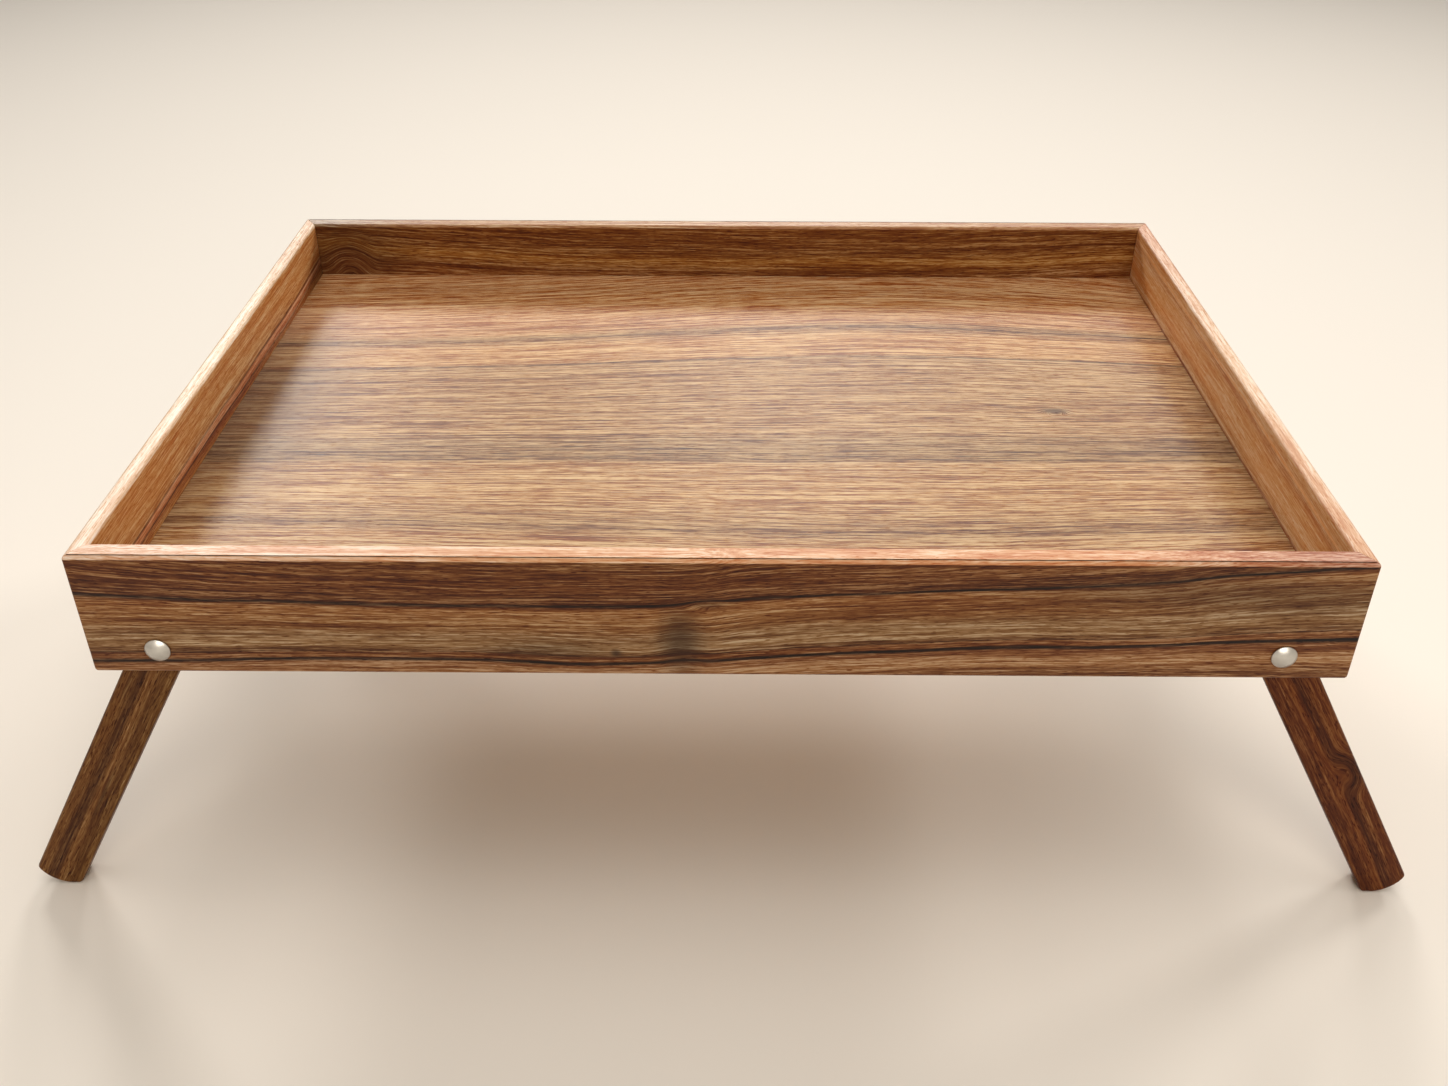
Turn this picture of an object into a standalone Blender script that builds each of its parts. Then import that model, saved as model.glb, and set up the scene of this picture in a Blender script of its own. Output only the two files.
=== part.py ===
"""Serving tray with folding legs: a mitred wooden box with a thin floor let into its walls, and two leg
frames that turn on round-headed bolts, stand splayed outwards and fold up flat under the floor.

X runs along the tray, Y from the front to the back and Z up. The tray stands on Z = 0, over the origin.
"""

import math

import bmesh
import bpy
from mathutils import Vector

for leftover in list(bpy.data.objects):
    bpy.data.objects.remove(leftover, do_unlink=True)

# Tray box, in metres
TRAY_LENGTH = 0.550
TRAY_WIDTH = 0.400
WALL_HEIGHT = 0.061
LONG_WALL_THICKNESS = 0.011
SHORT_WALL_THICKNESS = 0.008
WALL_ROUNDING = 0.002
MITRE_GLUE_GAP = 0.0003

# Floor panel and its grooves
FLOOR_THICKNESS = 0.0025
GROOVE_DEPTH = 0.0035
GROOVE_END_GAP = 0.0005
GROOVE_SIDE_GAP = 0.0003

# Legs, and the room they have inside the walls and under the floor
LEG_WIDTH = 0.0224
LEG_THICKNESS = 0.014
LEG_REACH = 0.1805
LEG_ROUNDING = 0.0015
LEG_SPLAY = math.radians(29.8)
LEG_TO_SHORT_WALL = 0.0023
FOLD_CLEARANCE = 0.0003
FOLDED_LEG_COVER = 0.0015
FOOT_ARC_RADIUS = 0.018
FOOT_FLAT = 0.006

# Crossbars and the dowels that join them to the legs
BAR_THICKNESS = 0.012
BAR_ROUNDING = 0.0015
BAR_TO_WASHER = 0.006
BAR_END_GAP = 0.0003
DOWEL_RADIUS = 0.003
DOWEL_SPACING = 0.009
DOWEL_IN_BAR = 0.0137
DOWEL_HOLE_TO_EDGE = 0.0012
DOWEL_HOLE_TO_FACE = 0.0037
DOWEL_HOLE_GAP = 0.0003
DOWEL_CHAMFER = 0.0005

# Pivot bolts: round head, square neck that bites into the wall, plain shank
BOLT_RADIUS = 0.0025
BOLT_HEAD_OVERHANG = 0.0031
BOLT_HEAD_HEIGHT = 0.0027
BOLT_HEAD_RIM = 0.0006
BOLT_NECK_PROUD = 0.00025
BOLT_NECK_LENGTH = 0.003
BOLT_NECK_GAP = 0.0003
BOLT_HOLE_GAP = 0.0003
BOLT_PAST_NUT = 0.0015
BOLT_END_CHAMFER = 0.0005

# What is threaded on each bolt
SEAT_GAP = 0.0003
SPACER_RIM = 0.0037
SPACER_THICKNESS = 0.001
WASHER_RIM = 0.0032
WASHER_THICKNESS = 0.001
NUT_SIDES = 6
NUT_WALL = 0.0012
NUT_HEIGHT = 0.004
NUT_COLLAR_WALL = 0.0008
NUT_COLLAR_HEIGHT = 0.001

# How far a cutter runs past what it cuts, how near points are merged, and how finely curves are divided
CUT_OVERRUN = 0.002
MERGE_DISTANCE = 0.00001
WALL_ROUNDING_STEPS = 3
LEG_ROUNDING_STEPS = 2
HEAD_ARC_STEPS = 12
FOOT_ARC_STEPS = 6
ROUND_STEPS = 24
DOME_STEPS = 5

# A quarter turn, and the turns past which an edge shows as sharp or is rounded
QUARTER_TURN = math.radians(90)
SHARP_FROM = math.radians(35)
LEG_ROUNDED_FROM = math.radians(40)
DOWEL_CHAMFERED_FROM = math.radians(60)

# Sizes worked out from the ones above
half_length = TRAY_LENGTH / 2
half_width = TRAY_WIDTH / 2
half_leg = LEG_WIDTH / 2
sin_splay = math.sin(LEG_SPLAY)
cos_splay = math.cos(LEG_SPLAY)
bore_radius = BOLT_RADIUS + BOLT_HOLE_GAP
washer_radius = bore_radius + WASHER_RIM
dowel_hole_radius = DOWEL_RADIUS + DOWEL_HOLE_GAP
bar_width = DOWEL_SPACING + 2 * (dowel_hole_radius + DOWEL_HOLE_TO_EDGE)
bar_below_pivot = washer_radius + BAR_TO_WASHER + bar_width / 2
dowel_in_leg = LEG_THICKNESS - DOWEL_HOLE_TO_FACE - DOWEL_HOLE_GAP
dowel_length = dowel_in_leg + BAR_END_GAP + DOWEL_IN_BAR

# In a leg's own plane the first number is outwards across it and the second is up along it.
true_up = Vector((sin_splay, cos_splay))
level_out = Vector((cos_splay, -sin_splay))
foot_arc_centre = Vector((0, FOOT_ARC_RADIUS - LEG_REACH))
foot_flat_depth = math.sqrt(FOOT_ARC_RADIUS**2 - (FOOT_FLAT / 2) ** 2)
foot_flat_end = foot_arc_centre + FOOT_FLAT / 2 * level_out - foot_flat_depth * true_up
foot_inner_corner = foot_flat_end - (foot_flat_end.x + half_leg) / cos_splay * level_out

# Heights: the folded legs lie between the walls' lower edges and the floor.
pivot_z = -foot_flat_end.dot(true_up)
wall_foot_z = pivot_z - half_leg - FOLDED_LEG_COVER
wall_centre_z = wall_foot_z + WALL_HEIGHT / 2
floor_centre_z = pivot_z + half_leg + FOLD_CLEARANCE + FLOOR_THICKNESS / 2

# The standing legs pass the short walls' lower edges with some room to spare.
leg_out_at_wall_foot = half_leg / cos_splay + (pivot_z - wall_foot_z) * sin_splay / cos_splay
pivot_x = half_length - SHORT_WALL_THICKNESS - LEG_TO_SHORT_WALL - leg_out_at_wall_foot

# Places along a bolt, counted inwards from the long wall's outer face
spacer_start = LONG_WALL_THICKNESS + SEAT_GAP
leg_start = spacer_start + SPACER_THICKNESS + SEAT_GAP
washer_start = leg_start + LEG_THICKNESS + SEAT_GAP
nut_start = washer_start + WASHER_THICKNESS + SEAT_GAP
bolt_end = nut_start + NUT_HEIGHT + NUT_COLLAR_HEIGHT + BOLT_PAST_NUT
leg_y = half_width - leg_start - LEG_THICKNESS / 2
bar_half_length = leg_y - LEG_THICKNESS / 2 - BAR_END_GAP

SIDES = {"left": -1, "right": 1}
ENDS = {"front": -1, "back": 1}

parts = bpy.data.collections.new("folding_leg_tray")
cutters = bpy.data.collections.new("tray_cutters")
bpy.context.scene.collection.children.link(parts)
bpy.context.scene.collection.children.link(cutters)


def new_material(name, colour, roughness, metallic=0.0):
    material = bpy.data.materials.new(name)
    material.use_nodes = True
    shader = material.node_tree.nodes["Principled BSDF"]
    shader.inputs["Base Color"].default_value = (*colour, 1.0)
    shader.inputs["Roughness"].default_value = roughness
    shader.inputs["Metallic"].default_value = metallic
    return material


brown_wood = new_material("oiled_brown_wood", (0.20, 0.095, 0.040), 0.45)
warm_wood = new_material("oiled_warm_wood", (0.36, 0.19, 0.085), 0.45)
floor_wood = new_material("oiled_floor_veneer", (0.33, 0.19, 0.10), 0.40)
dark_wood = new_material("oiled_dark_wood", (0.13, 0.060, 0.028), 0.45)
plain_wood = new_material("plain_beech", (0.50, 0.32, 0.18), 0.6)
satin_steel = new_material("satin_steel", (0.62, 0.62, 0.60), 0.3, 1.0)
zinc_steel = new_material("zinc_plated_steel", (0.55, 0.56, 0.58), 0.4, 1.0)


def new_object(name, mesh, material, parent=None, location=(0, 0, 0), rotation=(0, 0, 0)):
    """A piece of the tray or, without a material, a cutter."""
    piece = bpy.data.objects.new(name, mesh)
    (parts if material else cutters).objects.link(piece)
    if material:
        mesh.materials.append(material)
    else:
        piece.hide_render = True
        piece.display_type = "WIRE"
    piece.parent = parent
    piece.location = location
    piece.rotation_euler = rotation
    return piece


def mesh_from(shape, name):
    mesh = bpy.data.meshes.new(name)
    shape.to_mesh(mesh)
    shape.free()
    return mesh


def box_shape(size):
    shape = bmesh.new()
    bmesh.ops.create_cube(shape, size=1)
    bmesh.ops.scale(shape, vec=size, verts=shape.verts)
    return shape


def round_long_edges(shape, axis, radius, steps):
    """Rounds the edges that run along the given axis from one end of the piece to the other."""
    long_edges = [edge for edge in shape.edges if edge.verts[0].co[axis] * edge.verts[1].co[axis] < 0]
    bmesh.ops.bevel(shape, geom=long_edges, offset=radius, segments=steps, profile=0.5, affect="EDGES")


def shade_round(mesh):
    mesh.shade_smooth()
    mesh.set_sharp_from_angle(angle=SHARP_FROM)


def cylinder_mesh(name, radius, depth, steps=ROUND_STEPS):
    shape = bmesh.new()
    bmesh.ops.create_cone(shape, cap_ends=True, segments=steps, radius1=radius, radius2=radius, depth=depth)
    mesh = mesh_from(shape, name)
    shade_round(mesh)
    return mesh


def boolean(piece, tool, operation="DIFFERENCE"):
    modifier = piece.modifiers.new(tool.name, "BOOLEAN")
    modifier.operation = operation
    modifier.solver = "EXACT"
    modifier.object = tool


def bevel_edges(piece, width, steps, from_angle):
    """Rounds every edge that turns by more than this angle."""
    modifier = piece.modifiers.new("bevel", "BEVEL")
    modifier.width = width
    modifier.segments = steps
    modifier.limit_method = "ANGLE"
    modifier.angle_limit = from_angle


def wall_board(name, material, board_half, thickness, neighbour_thickness, place, turn):
    """One mitred wall. In its own frame X runs along it, Y points into the tray and Z is up. Its ends are
    cut from the tray's outer corner to the inner one, and half of the glue gap is taken off each end."""
    setback = MITRE_GLUE_GAP / 2 * math.hypot(thickness, neighbour_thickness) / thickness
    shape = box_shape((board_half, thickness, WALL_HEIGHT))
    for vertex in shape.verts:
        inner = neighbour_thickness if vertex.co.y > 0 else 0
        vertex.co.x = math.copysign(board_half - setback - inner, vertex.co.x)
    round_long_edges(shape, 0, WALL_ROUNDING, WALL_ROUNDING_STEPS)
    wall = new_object(name, mesh_from(shape, name), material, None, (*place, wall_centre_z), (0, 0, turn))
    groove_length = 2 * (board_half + CUT_OVERRUN)
    groove_height = FLOOR_THICKNESS + 2 * GROOVE_SIDE_GAP
    groove_shape = box_shape((groove_length, GROOVE_DEPTH + CUT_OVERRUN, groove_height))
    groove_mesh = mesh_from(groove_shape, name + "_groove")
    groove_place = (0, (thickness - GROOVE_DEPTH + CUT_OVERRUN) / 2, floor_centre_z - wall_centre_z)
    boolean(wall, new_object(name + "_groove", groove_mesh, None, wall, groove_place))
    return wall


def drill_pivot(wall, side):
    """A bolt hole through a long wall, with a square mouth for the bolt's neck on the outer face."""
    place = (side * pivot_x, 0, pivot_z - wall_centre_z)
    hole_mesh = cylinder_mesh("pivot_hole", bore_radius, LONG_WALL_THICKNESS + 2 * CUT_OVERRUN)
    boolean(wall, new_object("pivot_hole", hole_mesh, None, wall, place, (QUARTER_TURN, 0, 0)))
    mouth_side = 2 * (BOLT_RADIUS + BOLT_NECK_PROUD + BOLT_NECK_GAP)
    mouth_depth = BOLT_NECK_LENGTH + BOLT_NECK_GAP
    mouth_mesh = mesh_from(box_shape((mouth_side, mouth_depth + CUT_OVERRUN, mouth_side)), "neck_mouth")
    mouth_place = (place[0], (mouth_depth - CUT_OVERRUN - LONG_WALL_THICKNESS) / 2, place[2])
    boolean(wall, new_object("neck_mouth", mouth_mesh, None, wall, mouth_place))


def build_box():
    front_y = half_width - LONG_WALL_THICKNESS / 2
    side_x = half_length - SHORT_WALL_THICKNESS / 2
    long_board = (half_length, LONG_WALL_THICKNESS, SHORT_WALL_THICKNESS)
    short_board = (half_width, SHORT_WALL_THICKNESS, LONG_WALL_THICKNESS)
    front = wall_board("front_wall", brown_wood, *long_board, (0, -front_y), 0)
    back = wall_board("back_wall", brown_wood, *long_board, (0, front_y), 2 * QUARTER_TURN)
    wall_board("left_wall", warm_wood, *short_board, (-side_x, 0), -QUARTER_TURN)
    wall_board("right_wall", warm_wood, *short_board, (side_x, 0), QUARTER_TURN)
    for wall in (front, back):
        for side in SIDES.values():
            drill_pivot(wall, side)


def build_floor():
    """The floor reaches into the grooves on all four sides, a little short of their bottoms."""
    into_groove = GROOVE_DEPTH - GROOVE_END_GAP
    length = TRAY_LENGTH - 2 * (SHORT_WALL_THICKNESS - into_groove)
    width = TRAY_WIDTH - 2 * (LONG_WALL_THICKNESS - into_groove)
    mesh = mesh_from(box_shape((length, width, FLOOR_THICKNESS)), "floor_panel")
    new_object("floor_panel", mesh, floor_wood, location=(0, 0, floor_centre_z))


def leg_outline():
    """The leg's face. Its head is round about the pivot on the inner side. On the outer side it is cut level,
    so that it meets the underside of the floor when the leg stands splayed, and holds it there. Its foot is
    a shallow arc about the leg's middle, cut flat where it stands on the ground."""
    head_start = 2 * QUARTER_TURN
    head_end = QUARTER_TURN - LEG_SPLAY
    points = []
    for step in range(HEAD_ARC_STEPS + 1):
        angle = head_start + (head_end - head_start) * step / HEAD_ARC_STEPS
        points.append(half_leg * Vector((math.cos(angle), math.sin(angle))))
    shoulder = half_leg * (1 - sin_splay) / cos_splay
    points.append(points[-1] + shoulder * level_out)
    arc_start = math.asin(half_leg / FOOT_ARC_RADIUS)
    arc_end = math.asin(foot_flat_end.x / FOOT_ARC_RADIUS)
    for step in range(FOOT_ARC_STEPS):
        angle = arc_start + (arc_end - arc_start) * step / FOOT_ARC_STEPS
        points.append(foot_arc_centre + FOOT_ARC_RADIUS * Vector((math.sin(angle), -math.cos(angle))))
    points.append(foot_flat_end)
    points.append(foot_inner_corner)
    return points


def outline_mesh(name, points, thickness):
    """A flat board with this outline, lying in its own XY plane."""
    curve = bpy.data.curves.new(name, "CURVE")
    curve.dimensions = "2D"
    curve.fill_mode = "BOTH"
    curve.extrude = thickness / 2
    spline = curve.splines.new("POLY")
    spline.points.add(len(points) - 1)
    for point, place in zip(spline.points, points):
        point.co = (place.x, place.y, 0, 1)
    spline.use_cyclic_u = True
    outline = bpy.data.objects.new(name + "_outline", curve)
    cutters.objects.link(outline)
    bpy.context.view_layer.update()
    graph = bpy.context.evaluated_depsgraph_get()
    mesh = bpy.data.meshes.new_from_object(outline.evaluated_get(graph))
    bpy.data.objects.remove(outline, do_unlink=True)
    shape = bmesh.new()
    shape.from_mesh(mesh)
    bmesh.ops.remove_doubles(shape, verts=shape.verts, dist=MERGE_DISTANCE)
    shape.to_mesh(mesh)
    shape.free()
    mesh.materials.clear()
    return mesh


def dowel_places():
    """Where the two dowels at each end of a crossbar lie, up along the leg from the pivot."""
    return [-bar_below_pivot - DOWEL_SPACING / 2, -bar_below_pivot + DOWEL_SPACING / 2]


def build_leg(name, material, frame, side, end):
    points = [Vector((side * point.x, point.y)) for point in leg_outline()]
    mesh = outline_mesh(name, points, LEG_THICKNESS)
    leg = new_object(name, mesh, material, frame, (0, end * leg_y, 0), (QUARTER_TURN, 0, 0))
    bevel_edges(leg, LEG_ROUNDING, LEG_ROUNDING_STEPS, LEG_ROUNDED_FROM)
    bore_mesh = cylinder_mesh(name + "_bore", bore_radius, LEG_THICKNESS + 2 * CUT_OVERRUN)
    boolean(leg, new_object(name + "_bore", bore_mesh, None, leg))
    hole_depth = dowel_in_leg + DOWEL_HOLE_GAP
    hole_centre = end * (LEG_THICKNESS - hole_depth + CUT_OVERRUN) / 2
    for place in dowel_places():
        hole_mesh = cylinder_mesh(name + "_dowel_hole", dowel_hole_radius, hole_depth + CUT_OVERRUN)
        boolean(leg, new_object(name + "_dowel_hole", hole_mesh, None, leg, (0, place, hole_centre)))


def build_crossbar(name, frame):
    shape = box_shape((BAR_THICKNESS, 2 * bar_half_length, bar_width))
    round_long_edges(shape, 1, BAR_ROUNDING, LEG_ROUNDING_STEPS)
    bar = new_object(name, mesh_from(shape, name), dark_wood, frame, (0, 0, -bar_below_pivot))
    hole_depth = DOWEL_IN_BAR + DOWEL_HOLE_GAP
    hole_centre = bar_half_length - (hole_depth - CUT_OVERRUN) / 2
    for end in ENDS.values():
        for place in dowel_places():
            hole_mesh = cylinder_mesh(name + "_dowel_hole", dowel_hole_radius, hole_depth + CUT_OVERRUN)
            hole_place = (0, end * hole_centre, place + bar_below_pivot)
            hole = new_object(name + "_dowel_hole", hole_mesh, None, bar, hole_place, (QUARTER_TURN, 0, 0))
            boolean(bar, hole)


def build_dowel(name, frame, end, place):
    middle = leg_y - LEG_THICKNESS / 2 + dowel_in_leg - dowel_length / 2
    mesh = cylinder_mesh(name, DOWEL_RADIUS, dowel_length)
    dowel = new_object(name, mesh, plain_wood, frame, (0, end * middle, place), (QUARTER_TURN, 0, 0))
    bevel_edges(dowel, DOWEL_CHAMFER, 1, DOWEL_CHAMFERED_FROM)


def build_leg_frame(side_name, side):
    """Two legs and their crossbar. The frame's origin is on its pivots, and its Z axis runs up the legs."""
    frame = bpy.data.objects.new(side_name + "_leg_frame", None)
    parts.objects.link(frame)
    frame.location = (side * pivot_x, 0, pivot_z)
    frame.rotation_euler = (0, -side * LEG_SPLAY, 0)
    frame.empty_display_size = LEG_WIDTH
    leg_material = brown_wood if side < 0 else dark_wood
    for end_name, end in ENDS.items():
        build_leg(f"{end_name}_{side_name}_leg", leg_material, frame, side, end)
        for place, level in zip(dowel_places(), ("lower", "upper")):
            build_dowel(f"{end_name}_{side_name}_{level}_dowel", frame, end, place)
    build_crossbar(side_name + "_crossbar", frame)


def on_bolt(side, end, inward):
    """A place on the bolt's line, this far inwards from the long wall's outer face."""
    return (side * pivot_x, end * (half_width - inward), pivot_z)


def bolt_profile():
    """A low dome over a thin straight rim, flat underneath, then the shank with a chamfered end. The points
    are (radius, height), from the top of the dome down the outer side."""
    head_radius = BOLT_RADIUS + BOLT_HEAD_OVERHANG
    dome_height = BOLT_HEAD_HEIGHT - BOLT_HEAD_RIM
    dome_radius = (head_radius**2 + dome_height**2) / (2 * dome_height)
    dome_centre = BOLT_HEAD_HEIGHT - dome_radius
    dome_turn = math.asin(head_radius / dome_radius)
    profile = []
    for step in range(DOME_STEPS + 1):
        angle = dome_turn * step / DOME_STEPS
        profile.append((dome_radius * math.sin(angle), dome_centre + dome_radius * math.cos(angle)))
    shank_end = -bolt_end - SEAT_GAP
    profile.append((head_radius, 0))
    profile.append((BOLT_RADIUS, 0))
    profile.append((BOLT_RADIUS, shank_end + BOLT_END_CHAMFER))
    profile.append((BOLT_RADIUS - BOLT_END_CHAMFER, shank_end))
    profile.append((0, shank_end))
    return profile


def build_bolt(name, side, end):
    """A turned bolt with a square neck and its head on the outer face. Its own +Z points out of the tray."""
    mesh = bpy.data.meshes.new(name)
    points = [(radius, 0, height) for radius, height in bolt_profile()]
    mesh.from_pydata(points, [(index, index + 1) for index in range(len(points) - 1)], [])
    place = on_bolt(side, end, -SEAT_GAP)
    bolt = new_object(name, mesh, satin_steel, None, place, (-end * QUARTER_TURN, 0, 0))
    screw = bolt.modifiers.new("turn", "SCREW")
    screw.steps = ROUND_STEPS
    screw.render_steps = ROUND_STEPS
    screw.use_smooth_shade = True
    screw.use_merge_vertices = True
    screw.merge_threshold = MERGE_DISTANCE
    neck_side = 2 * (BOLT_RADIUS + BOLT_NECK_PROUD)
    neck_height = BOLT_NECK_LENGTH + BOLT_HEAD_RIM / 2
    neck_mesh = mesh_from(box_shape((neck_side, neck_side, neck_height)), name + "_neck")
    neck_place = (0, 0, BOLT_HEAD_RIM / 2 - neck_height / 2)
    boolean(bolt, new_object(name + "_neck", neck_mesh, None, bolt, neck_place), "UNION")


def build_ring(name, radius, thickness, side, end, inward):
    place = on_bolt(side, end, inward + thickness / 2)
    mesh = cylinder_mesh(name, radius, thickness)
    ring = new_object(name, mesh, zinc_steel, None, place, (QUARTER_TURN, 0, 0))
    bore_mesh = cylinder_mesh(name + "_bore", bore_radius, thickness + 2 * CUT_OVERRUN)
    boolean(ring, new_object(name + "_bore", bore_mesh, None, ring))


def build_nut(name, side, end):
    """A lock nut: a hexagon with the round collar that holds its nylon ring. Its own +Z points inwards."""
    corner_radius = (bore_radius + NUT_WALL) / math.cos(math.pi / NUT_SIDES)
    place = on_bolt(side, end, nut_start + NUT_HEIGHT / 2)
    mesh = cylinder_mesh(name, corner_radius, NUT_HEIGHT, NUT_SIDES)
    nut = new_object(name, mesh, zinc_steel, None, place, (end * QUARTER_TURN, 0, 0))
    collar_height = NUT_HEIGHT / 2 + NUT_COLLAR_HEIGHT
    collar_mesh = cylinder_mesh(name + "_collar", bore_radius + NUT_COLLAR_WALL, collar_height)
    boolean(nut, new_object(name + "_collar", collar_mesh, None, nut, (0, 0, collar_height / 2)), "UNION")
    bore_mesh = cylinder_mesh(name + "_bore", bore_radius, 2 * (NUT_HEIGHT + NUT_COLLAR_HEIGHT))
    boolean(nut, new_object(name + "_bore", bore_mesh, None, nut))


def build_pivot(corner, side, end):
    build_bolt(corner + "_pivot_bolt", side, end)
    build_ring(corner + "_spacer", bore_radius + SPACER_RIM, SPACER_THICKNESS, side, end, spacer_start)
    build_ring(corner + "_washer", washer_radius, WASHER_THICKNESS, side, end, washer_start)
    build_nut(corner + "_lock_nut", side, end)


build_box()
build_floor()
for side_name, side in SIDES.items():
    build_leg_frame(side_name, side)
    for end_name, end in ENDS.items():
        build_pivot(f"{end_name}_{side_name}", side, end)
bpy.context.view_layer.update()
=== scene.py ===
import math

import bmesh
import bpy
from mathutils import Matrix, Vector


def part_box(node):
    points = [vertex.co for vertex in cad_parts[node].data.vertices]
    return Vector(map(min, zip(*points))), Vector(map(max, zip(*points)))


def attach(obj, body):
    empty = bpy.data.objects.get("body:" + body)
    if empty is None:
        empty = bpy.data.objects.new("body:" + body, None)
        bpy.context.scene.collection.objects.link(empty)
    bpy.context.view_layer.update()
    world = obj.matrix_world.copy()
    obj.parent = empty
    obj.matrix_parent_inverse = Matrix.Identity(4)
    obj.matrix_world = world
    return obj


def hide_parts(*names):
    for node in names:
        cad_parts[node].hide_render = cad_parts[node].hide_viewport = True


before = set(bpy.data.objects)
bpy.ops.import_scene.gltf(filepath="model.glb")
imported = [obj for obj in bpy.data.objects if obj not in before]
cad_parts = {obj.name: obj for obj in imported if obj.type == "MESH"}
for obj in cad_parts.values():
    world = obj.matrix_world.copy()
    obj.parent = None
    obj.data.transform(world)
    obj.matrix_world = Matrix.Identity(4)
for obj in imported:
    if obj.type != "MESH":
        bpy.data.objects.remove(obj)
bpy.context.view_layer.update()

# Long walls
# The front and the back of the box are solid acacia boards, sanded round on every arris, mitred and glued at
# the corners. Each is grooved inside for the floor, and bored near both ends for the bolts that carry the
# legs.
MM = 0.001
TINY = 0.01 * MM
ARRIS_RADIUS = 2 * MM
CORNER_RADIUS = 1.2 * MM
ROUNDING_STEPS = 4
GLUE_LINE = 0.2 * MM
GROOVE_PLAY = 0.15 * MM
GROOVE_BOTTOM_PLAY = 0.5 * MM
OVERRUN = 2 * MM
BORE_PLAY = 0.3 * MM
SHANK_RADIUS = 2.5 * MM
NECK_HALF = 2.75 * MM
NECK_LENGTH = 3 * MM
SMOOTH_UNDER = math.radians(32)
QUARTER_TURN = math.radians(90)
UP = Vector((0, 0, 1))
X_AXIS = Vector((1, 0, 0))
Y_AXIS = Vector((0, 1, 0))

front_low, front_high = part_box("front_wall")
left_low, left_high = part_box("left_wall")
floor_low, floor_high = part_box("floor_panel")
half_length, half_width = -left_low.x, -front_low.y
long_thickness = front_high.y - front_low.y
short_thickness = left_high.x - left_low.x
wall_foot, rim = front_low.z, front_high.z
wall_height = rim - wall_foot
wall_middle = (rim + wall_foot) / 2
pivot = (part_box("front_right_pivot_bolt")[0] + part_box("front_right_pivot_bolt")[1]) / 2


def pick(part, kind, test):
    """In edit mode, selects only the vertices, edges or faces whose corners pass the test."""
    bpy.ops.object.select_all(action="DESELECT")
    part.select_set(True)
    bpy.context.view_layer.objects.active = part
    bpy.ops.object.mode_set(mode="EDIT")
    bpy.ops.mesh.select_mode(type=kind)
    bpy.ops.mesh.select_all(action="DESELECT")
    shape = bmesh.from_edit_mesh(part.data)
    for item in {"VERT": shape.verts, "EDGE": shape.edges, "FACE": shape.faces}[kind]:
        corners = [item.co] if kind == "VERT" else [vertex.co for vertex in item.verts]
        if test(corners):
            item.select_set(True)
    bmesh.update_edit_mesh(part.data)


def leave_edit():
    bpy.ops.object.mode_set(mode="OBJECT")


def block(name, low, high):
    """A cube drawn out to these two corners."""
    bpy.ops.object.select_all(action="DESELECT")
    bpy.ops.mesh.primitive_cube_add(size=1, location=(low + high) / 2, scale=high - low)
    part = bpy.context.object
    part.name = name
    bpy.ops.object.transform_apply(location=True, rotation=True, scale=True)
    return part


def rod(name, radius, start, end, sides=64):
    """A cylinder from one point to another."""
    line = end - start
    turn = line.to_track_quat("Z", "Y").to_euler()
    bpy.ops.object.select_all(action="DESELECT")
    bpy.ops.mesh.primitive_cylinder_add(
        vertices=sides, radius=radius, depth=line.length, location=(start + end) / 2, rotation=turn
    )
    part = bpy.context.object
    part.name = name
    bpy.ops.object.transform_apply(location=True, rotation=True, scale=True)
    return part


def cut(part, cutter, operation="DIFFERENCE"):
    """Takes the cutter's shape out of the part, or joins or keeps it, and throws the cutter away."""
    modifier = part.modifiers.new("cut", "BOOLEAN")
    modifier.operation = operation
    modifier.object = cutter
    bpy.ops.object.select_all(action="DESELECT")
    bpy.context.view_layer.objects.active = part
    bpy.ops.object.modifier_apply(modifier=modifier.name)
    bpy.data.objects.remove(cutter, do_unlink=True)


def saw(part, place, away):
    """Cuts the part flat through this place, and throws away what lies on this side of the cut."""
    pick(part, "FACE", lambda corners: True)
    bpy.ops.mesh.bisect(plane_co=place, plane_no=away, use_fill=True, clear_outer=True, threshold=TINY / 10)
    leave_edit()


def pick_sharp(part, over):
    """In edit mode, selects the edges where the surface turns by more than this angle."""
    pick(part, "EDGE", lambda corners: False)
    bpy.ops.mesh.edges_select_sharp(sharpness=over)


def finish_part(part, material, body, slot, *nodes):
    """Shades the roundings smooth and the flats flat, gives the finish, and puts the part on its body."""
    bpy.ops.object.select_all(action="DESELECT")
    part.select_set(True)
    bpy.context.view_layer.objects.active = part
    bpy.ops.object.shade_smooth_by_angle(angle=SMOOTH_UNDER)
    normals = part.modifiers.new("flat_faces", "WEIGHTED_NORMAL")
    normals.keep_sharp = True
    bpy.ops.object.modifier_apply(modifier=normals.name)
    part.data.materials.clear()
    part.data.materials.append(material)
    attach(part, body)
    if nodes:
        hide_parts(*nodes)


def mitre(board, middle, side_x, side_y):
    """Saws the board off from the box's outer corner to its inner one, short by half of the glue line."""
    outer = Vector((side_x * half_length, side_y * half_width, 0))
    inner = Vector((side_x * (half_length - short_thickness), side_y * (half_width - long_thickness), 0))
    away = (inner - outer).cross(UP).normalized()
    if away.dot(outer - middle) < 0:
        away.negate()
    saw(board, outer - GLUE_LINE / 2 * away, away)


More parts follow.
